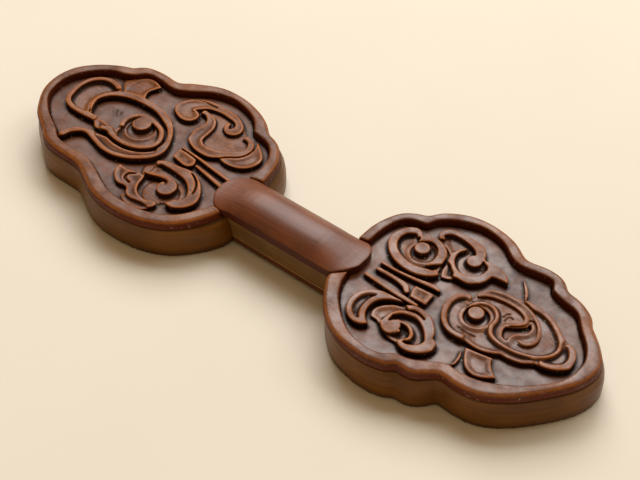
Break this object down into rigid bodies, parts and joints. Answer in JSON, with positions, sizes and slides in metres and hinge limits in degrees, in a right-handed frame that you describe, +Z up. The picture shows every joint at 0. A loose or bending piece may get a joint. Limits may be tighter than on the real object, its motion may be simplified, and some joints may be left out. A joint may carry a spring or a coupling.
{
  "type": "ruyi scepter",
  "caption": "Carved dark hardwood ruyi hand piece: a cloud-shaped head with scroll relief at each end and a short domed handle between them.",
  "frame": {"origin": "on the resting surface, below the middle of the part's box", "axes": "+X from the left head to the right head along the piece, +Y across it towards the far side, +Z up through the carved faces"},
  "size_m": [0.2554, 0.0841, 0.02],
  "materials": {
    "head_wood": "satin wax on olive-brown hardwood",
    "rim_wood": "satin wax, worn reddish brown",
    "ground_wood": "dull wax with dark crevices",
    "carved_wood": "satin wax with orange worn edges",
    "handle_wood": "satin wax on dark olive-brown hardwood",
    "cover_wood": "polished wax with fine lengthwise grain",
    "strip_wood": "dull dark orange-brown",
    "peg_wood": "plain wood"
  },
  "bodies": {
    "root": {"left_block": "head_wood", "left_rim": "rim_wood", "left_ground": "ground_wood", "left_tip_cloud": "carved_wood", "left_tail_loop": "carved_wood", "left_corner_leaf": "carved_wood", "left_far_scroll": "carved_wood", "left_far_crescent": "carved_wood", "left_near_swirl": "carved_wood", "left_near_leaf": "carved_wood", "left_tablet": "carved_wood", "left_far_bar": "carved_wood", "left_near_bar": "carved_wood", "right_block": "head_wood", "right_rim": "rim_wood", "right_ground": "ground_wood", "right_round_spiral": "carved_wood", "right_hook_scroll": "carved_wood", "right_far_bar": "carved_wood", "right_middle_bar": "carved_wood", "right_near_bar": "carved_wood", "right_tablet": "carved_wood", "right_crescent_leaf": "carved_wood", "right_rosette": "carved_wood", "right_tip_cloud": "carved_wood", "right_tip_swirl": "carved_wood", "right_shield_leaf": "carved_wood", "right_far_tick": "carved_wood", "right_near_tick": "carved_wood", "handle_core": "handle_wood", "handle_cover": "cover_wood", "handle_strip": "strip_wood", "left_peg": "peg_wood", "right_peg": "peg_wood"}
  },
  "joints": []
}
